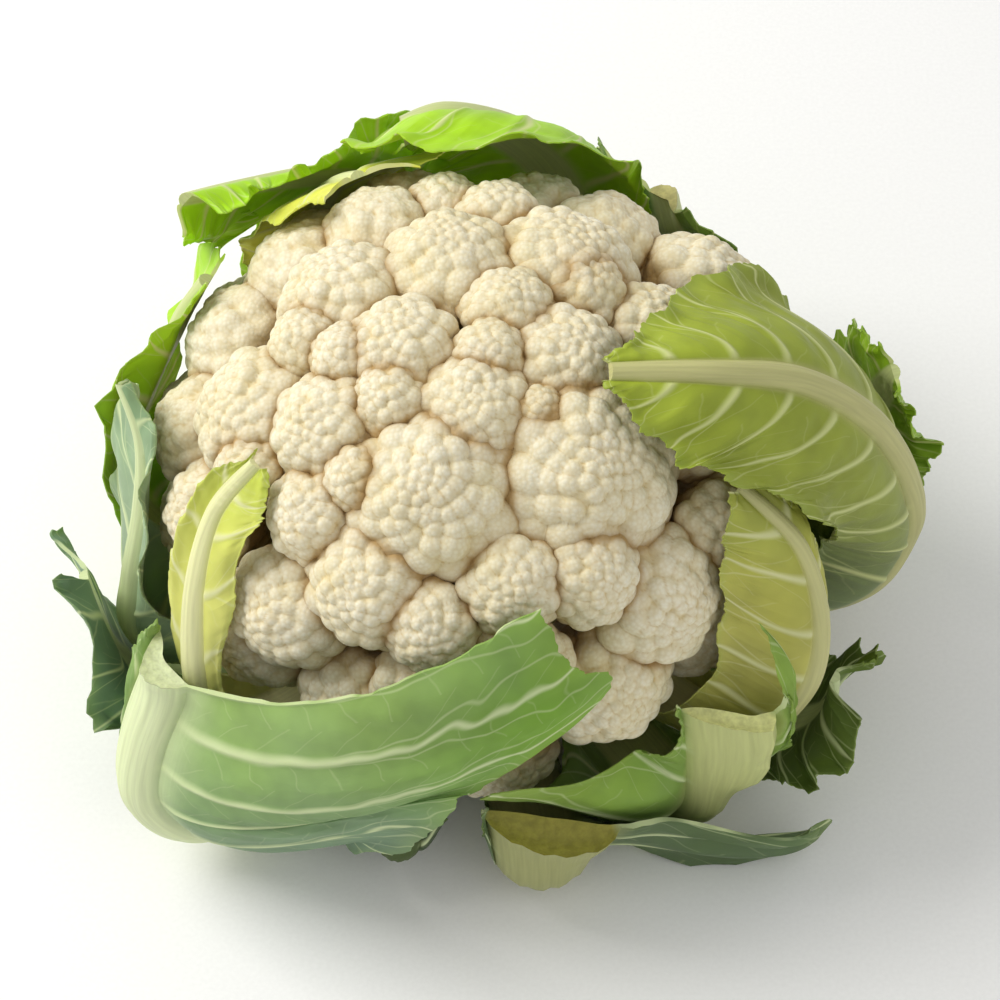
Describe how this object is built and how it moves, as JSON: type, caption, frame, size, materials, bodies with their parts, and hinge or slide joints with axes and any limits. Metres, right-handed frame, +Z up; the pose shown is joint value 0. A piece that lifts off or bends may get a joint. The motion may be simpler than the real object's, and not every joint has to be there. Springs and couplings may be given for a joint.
{
  "type": "cauliflower",
  "caption": "Whole cauliflower head: a domed curd of florets on a cut stem, wrapped at the sides in trimmed leaves.",
  "frame": {"origin": "middle of the stem's cut face, which the head stands on", "axes": "+Z up along the stem through the crown of the head, -Y towards the open front where the largest cut leaf crosses the head, +X to the right of that front"},
  "size_m": [0.2203, 0.1892, 0.1323],
  "materials": {
    "curd": "matt, fine-grained, creamy white with tan creases",
    "stem": "satin, pale green with a whitish cut face",
    "inner_leaf": "satin, pale yellow-green with whitish ribs and veins",
    "green_leaf": "satin, fresh green with pale ribs and veins",
    "outer_leaf": "waxy satin, greyish green with pale ribs and veins"
  },
  "bodies": {
    "root": {"curd": "curd", "stem": "stem", "leaf_inner_left": "inner_leaf", "leaf_inner_right": "inner_leaf", "leaf_inner_back_left": "inner_leaf", "leaf_inner_back_right": "inner_leaf", "leaf_low_front": "outer_leaf", "leaf_right": "green_leaf", "leaf_left": "outer_leaf", "leaf_back": "green_leaf", "leaf_back_left": "green_leaf", "leaf_front_left": "outer_leaf", "leaf_front_right": "outer_leaf", "leaf_far_right": "green_leaf", "leaf_front": "outer_leaf", "leaf_low_right": "outer_leaf", "leaf_low_back_right": "green_leaf", "leaf_low_back_left": "green_leaf", "leaf_low_left": "outer_leaf"}
  },
  "joints": []
}
